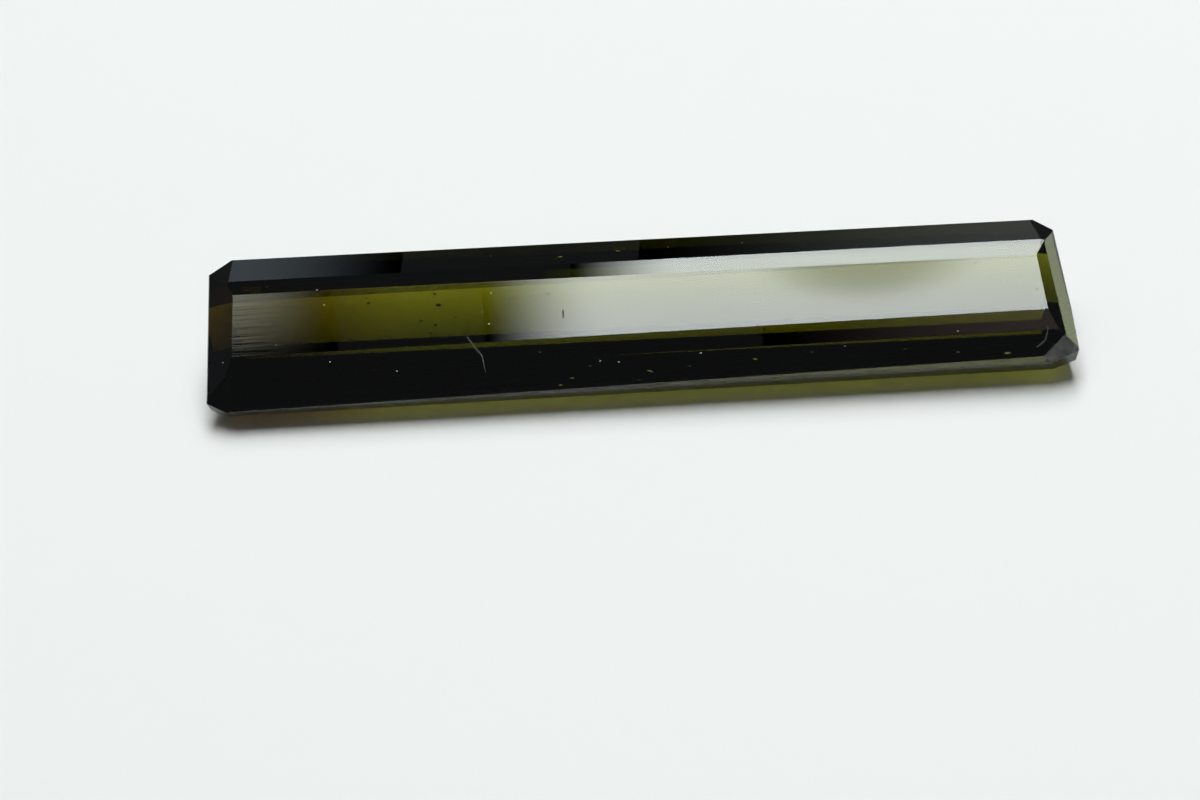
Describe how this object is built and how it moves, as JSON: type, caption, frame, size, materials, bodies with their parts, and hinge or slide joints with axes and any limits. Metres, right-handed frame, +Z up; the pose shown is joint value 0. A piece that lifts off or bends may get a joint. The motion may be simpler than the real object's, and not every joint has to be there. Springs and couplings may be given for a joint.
{
  "type": "faceted tourmaline gemstone",
  "caption": "Long step-cut clear olive-green tourmaline with a flat table, stepped crown, girdle, clipped corners and keeled underside, lying on one of its underside flats.",
  "frame": {"origin": "middle of the stone's outline on the plane that it lies on", "axes": "+X along the stone's length towards the slanting end, +Z up, and the table faces up and towards -Y"},
  "size_m": [0.029, 0.0048, 0.0039],
  "materials": {
    "tourmaline_green": "clear dark olive-green crystal, polished flats, ground girdle"
  },
  "bodies": {
    "root": {"tourmaline": "tourmaline_green"}
  },
  "joints": []
}
